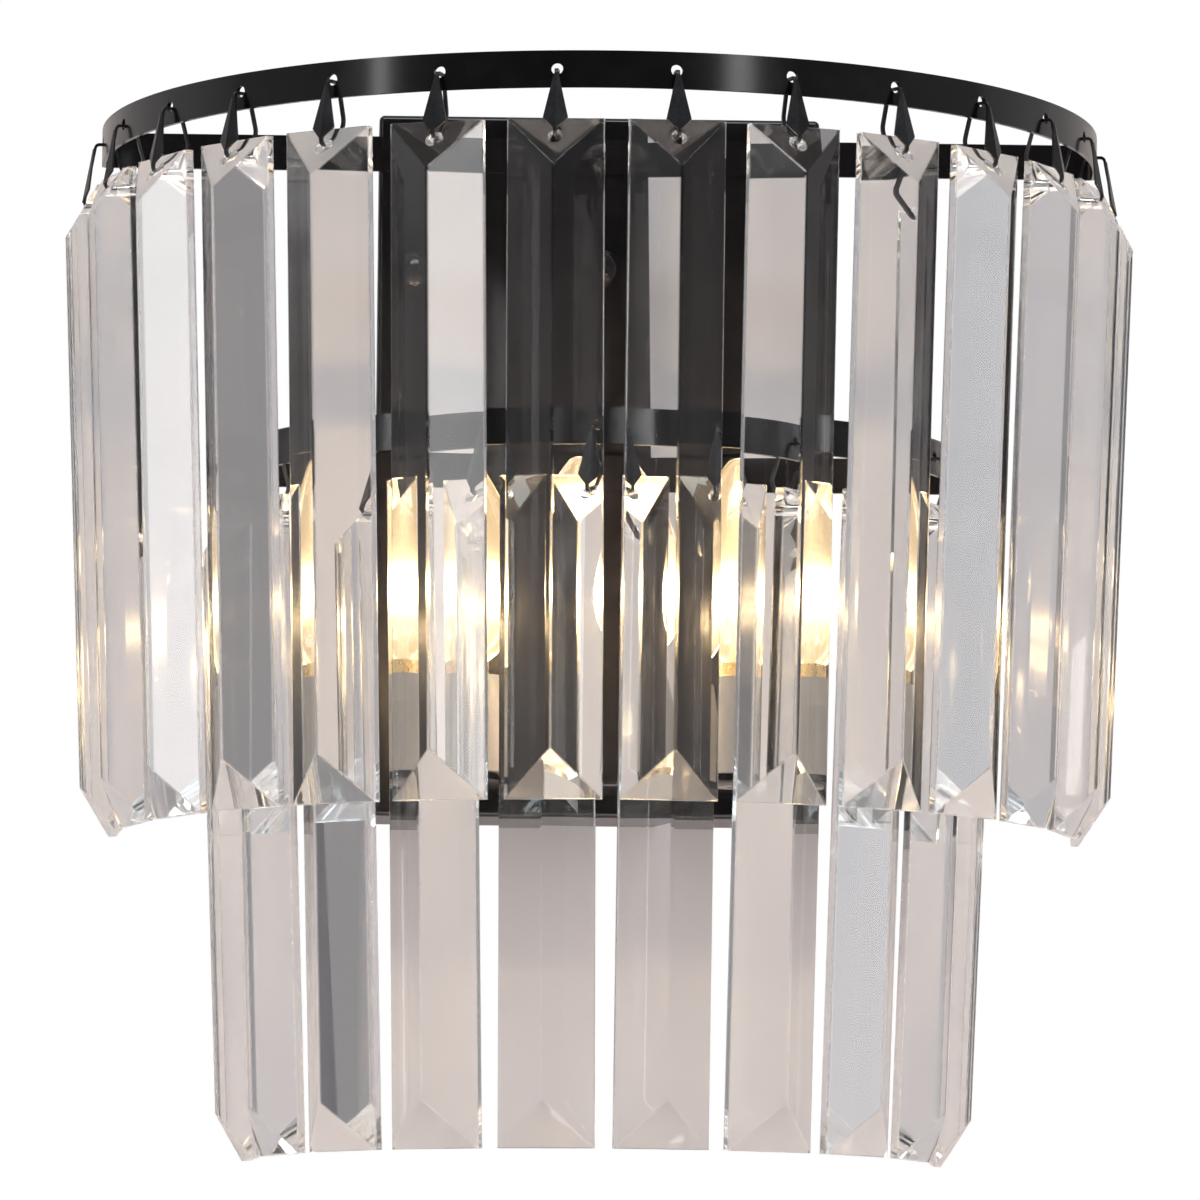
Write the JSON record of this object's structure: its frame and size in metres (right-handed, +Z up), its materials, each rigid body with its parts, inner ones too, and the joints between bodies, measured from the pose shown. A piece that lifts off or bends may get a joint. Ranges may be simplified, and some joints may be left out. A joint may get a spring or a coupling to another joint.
{
  "type": "wall sconce",
  "caption": "Half-round wall sconce: two tiers of bevelled crystal prisms hang on hooks from D-shaped flat-strip rings around upright candle bulbs, on a tall black canopy box.",
  "frame": {"origin": "on the wall, at the middle of the wall bracket's back, on the ball nut's axis", "axes": "+X to the viewer's right, +Y into the wall, +Z up"},
  "size_m": [0.3034, 0.1813, 0.299],
  "materials": {
    "black_metal": "satin",
    "plated_steel": "plated",
    "crystal": "polished",
    "holder_plastic": "matte",
    "cap_brass": "satin",
    "bulb_glass": "polished",
    "filament_wire": "glowing",
    "lead_sheath": "matte"
  },
  "bodies": {
    "frame": {"canopy": "black_metal", "wall_bracket": "plated_steel", "ball_nut": "black_metal", "upper_ring": "black_metal", "lower_ring": "black_metal", "frame_screws": "black_metal", "lamp_bracket": "black_metal", "lamp_holders": "holder_plastic", "bulb_caps": "cap_brass", "bulb_glass": "bulb_glass", "bulb_filaments": "filament_wire", "wiring": "lead_sheath"},
    "upper_pendant_01": {"upper_prism_01": "crystal", "upper_hook_01": "black_metal"},
    "upper_pendant_02": {"upper_prism_02": "crystal", "upper_hook_02": "black_metal"},
    "upper_pendant_03": {"upper_prism_03": "crystal", "upper_hook_03": "black_metal"},
    "upper_pendant_04": {"upper_prism_04": "crystal", "upper_hook_04": "black_metal"},
    "upper_pendant_05": {"upper_prism_05": "crystal", "upper_hook_05": "black_metal"},
    "upper_pendant_06": {"upper_prism_06": "crystal", "upper_hook_06": "black_metal"},
    "upper_pendant_07": {"upper_prism_07": "crystal", "upper_hook_07": "black_metal"},
    "upper_pendant_08": {"upper_prism_08": "crystal", "upper_hook_08": "black_metal"},
    "upper_pendant_09": {"upper_prism_09": "crystal", "upper_hook_09": "black_metal"},
    "upper_pendant_10": {"upper_prism_10": "crystal", "upper_hook_10": "black_metal"},
    "upper_pendant_11": {"upper_prism_11": "crystal", "upper_hook_11": "black_metal"},
    "upper_pendant_12": {"upper_prism_12": "crystal", "upper_hook_12": "black_metal"},
    "upper_pendant_13": {"upper_prism_13": "crystal", "upper_hook_13": "black_metal"},
    "upper_pendant_14": {"upper_prism_14": "crystal", "upper_hook_14": "black_metal"},
    "lower_pendant_01": {"lower_prism_01": "crystal", "lower_hook_01": "black_metal"},
    "lower_pendant_02": {"lower_prism_02": "crystal", "lower_hook_02": "black_metal"},
    "lower_pendant_03": {"lower_prism_03": "crystal", "lower_hook_03": "black_metal"},
    "lower_pendant_04": {"lower_prism_04": "crystal", "lower_hook_04": "black_metal"},
    "lower_pendant_05": {"lower_prism_05": "crystal", "lower_hook_05": "black_metal"},
    "lower_pendant_06": {"lower_prism_06": "crystal", "lower_hook_06": "black_metal"},
    "lower_pendant_07": {"lower_prism_07": "crystal", "lower_hook_07": "black_metal"},
    "lower_pendant_08": {"lower_prism_08": "crystal", "lower_hook_08": "black_metal"},
    "lower_pendant_09": {"lower_prism_09": "crystal", "lower_hook_09": "black_metal"},
    "lower_pendant_10": {"lower_prism_10": "crystal", "lower_hook_10": "black_metal"}
  },
  "joints": [
    {"name": "upper_swing_01", "type": "hinge", "parent": "frame", "child": "upper_pendant_01", "pos_m": [-0.14141, -0.04298, 0.033], "axis": [-0.0914, 0.9958, 0], "range_deg": [-4, 20]},
    {"name": "upper_swing_02", "type": "hinge", "parent": "frame", "child": "upper_pendant_02", "pos_m": [-0.13483, -0.07455, 0.033], "axis": [-0.3137, 0.9495, 0], "range_deg": [-4, 20]},
    {"name": "upper_swing_03", "type": "hinge", "parent": "frame", "child": "upper_pendant_03", "pos_m": [-0.1213, -0.10382, 0.033], "axis": [-0.5199, 0.8542, 0], "range_deg": [-4, 20]},
    {"name": "upper_swing_04", "type": "hinge", "parent": "frame", "child": "upper_pendant_04", "pos_m": [-0.10152, -0.12929, 0.033], "axis": [-0.6992, 0.7149, 0], "range_deg": [-4, 20]},
    {"name": "upper_swing_05", "type": "hinge", "parent": "frame", "child": "upper_pendant_05", "pos_m": [-0.0765, -0.14963, 0.033], "axis": [-0.8425, 0.5387, 0], "range_deg": [-4, 20]},
    {"name": "upper_swing_06", "type": "hinge", "parent": "frame", "child": "upper_pendant_06", "pos_m": [-0.04754, -0.16381, 0.033], "axis": [-0.9423, 0.3348, 0], "range_deg": [-4, 20]},
    {"name": "upper_swing_07", "type": "hinge", "parent": "frame", "child": "upper_pendant_07", "pos_m": [-0.01612, -0.17108, 0.033], "axis": [-0.9935, 0.1135, 0], "range_deg": [-4, 20]},
    {"name": "upper_swing_08", "type": "hinge", "parent": "frame", "child": "upper_pendant_08", "pos_m": [0.01612, -0.17108, 0.033], "axis": [-0.9935, -0.1135, 0], "range_deg": [-4, 20]},
    {"name": "upper_swing_09", "type": "hinge", "parent": "frame", "child": "upper_pendant_09", "pos_m": [0.04754, -0.16381, 0.033], "axis": [-0.9423, -0.3348, 0], "range_deg": [-4, 20]},
    {"name": "upper_swing_10", "type": "hinge", "parent": "frame", "child": "upper_pendant_10", "pos_m": [0.0765, -0.14963, 0.033], "axis": [-0.8425, -0.5387, 0], "range_deg": [-4, 20]},
    {"name": "upper_swing_11", "type": "hinge", "parent": "frame", "child": "upper_pendant_11", "pos_m": [0.10152, -0.12929, 0.033], "axis": [-0.6992, -0.7149, 0], "range_deg": [-4, 20]},
    {"name": "upper_swing_12", "type": "hinge", "parent": "frame", "child": "upper_pendant_12", "pos_m": [0.1213, -0.10382, 0.033], "axis": [-0.5199, -0.8542, 0], "range_deg": [-4, 20]},
    {"name": "upper_swing_13", "type": "hinge", "parent": "frame", "child": "upper_pendant_13", "pos_m": [0.13483, -0.07455, 0.033], "axis": [-0.3137, -0.9495, 0], "range_deg": [-4, 20]},
    {"name": "upper_swing_14", "type": "hinge", "parent": "frame", "child": "upper_pendant_14", "pos_m": [0.14141, -0.04298, 0.033], "axis": [-0.0914, -0.9958, 0], "range_deg": [-4, 20]},
    {"name": "lower_swing_01", "type": "hinge", "parent": "frame", "child": "lower_pendant_01", "pos_m": [-0.10218, -0.04297, -0.0582], "axis": [-0.1259, 0.992, 0], "range_deg": [-3, 12]},
    {"name": "lower_swing_02", "type": "hinge", "parent": "frame", "child": "lower_pendant_02", "pos_m": [-0.09287, -0.07455, -0.0582], "axis": [-0.4325, 0.9016, 0], "range_deg": [-3, 12]},
    {"name": "lower_swing_03", "type": "hinge", "parent": "frame", "child": "lower_pendant_03", "pos_m": [-0.07407, -0.10157, -0.0582], "axis": [-0.6949, 0.7191, 0], "range_deg": [-3, 12]},
    {"name": "lower_swing_04", "type": "hinge", "parent": "frame", "child": "lower_pendant_04", "pos_m": [-0.0477, -0.12129, -0.0582], "axis": [-0.8863, 0.4631, 0], "range_deg": [-3, 12]},
    {"name": "lower_swing_05", "type": "hinge", "parent": "frame", "child": "lower_pendant_05", "pos_m": [-0.01646, -0.13168, -0.0582], "axis": [-0.9871, 0.1598, 0], "range_deg": [-3, 12]},
    {"name": "lower_swing_06", "type": "hinge", "parent": "frame", "child": "lower_pendant_06", "pos_m": [0.01646, -0.13168, -0.0582], "axis": [-0.9871, -0.1598, 0], "range_deg": [-3, 12]},
    {"name": "lower_swing_07", "type": "hinge", "parent": "frame", "child": "lower_pendant_07", "pos_m": [0.0477, -0.12129, -0.0582], "axis": [-0.8863, -0.4631, 0], "range_deg": [-3, 12]},
    {"name": "lower_swing_08", "type": "hinge", "parent": "frame", "child": "lower_pendant_08", "pos_m": [0.07407, -0.10157, -0.0582], "axis": [-0.6949, -0.7191, 0], "range_deg": [-3, 12]},
    {"name": "lower_swing_09", "type": "hinge", "parent": "frame", "child": "lower_pendant_09", "pos_m": [0.09287, -0.07455, -0.0582], "axis": [-0.4325, -0.9016, 0], "range_deg": [-3, 12]},
    {"name": "lower_swing_10", "type": "hinge", "parent": "frame", "child": "lower_pendant_10", "pos_m": [0.10218, -0.04297, -0.0582], "axis": [-0.1259, -0.992, 0], "range_deg": [-3, 12]}
  ]
}
